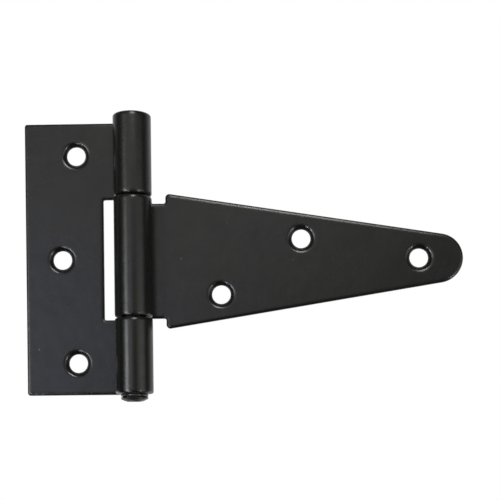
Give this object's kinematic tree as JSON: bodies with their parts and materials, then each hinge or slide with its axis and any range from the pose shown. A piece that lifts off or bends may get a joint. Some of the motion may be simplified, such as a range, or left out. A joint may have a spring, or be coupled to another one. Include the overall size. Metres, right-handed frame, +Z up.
{
  "type": "tee hinge",
  "caption": "Steel tee hinge with a rectangular leaf, a long tapered strap and a rolled barrel round a fixed pin, finished in satin black powder coat.",
  "frame": {"origin": "on the pin's axis, half way up the rectangular butt leaf", "axes": "+Z up along the pin towards its head, +X towards the tip of the strap, +Y into the post and gate that the backs of the leaves rest on; the barrel stands out towards -Y"},
  "size_m": [0.1356, 0.0116, 0.0885],
  "materials": {
    "powder_coat": "satin black powder coat with a fine orange-peel texture"
  },
  "bodies": {
    "butt": {"butt_leaf": "powder_coat", "hinge_pin": "powder_coat"},
    "strap": {"strap_leaf": "powder_coat"}
  },
  "joints": [
    {"name": "strap_swing", "type": "hinge", "parent": "butt", "child": "strap", "pos_m": [0, 0, 0], "axis": [0, 0, -1], "range_deg": [-112, 190]}
  ]
}
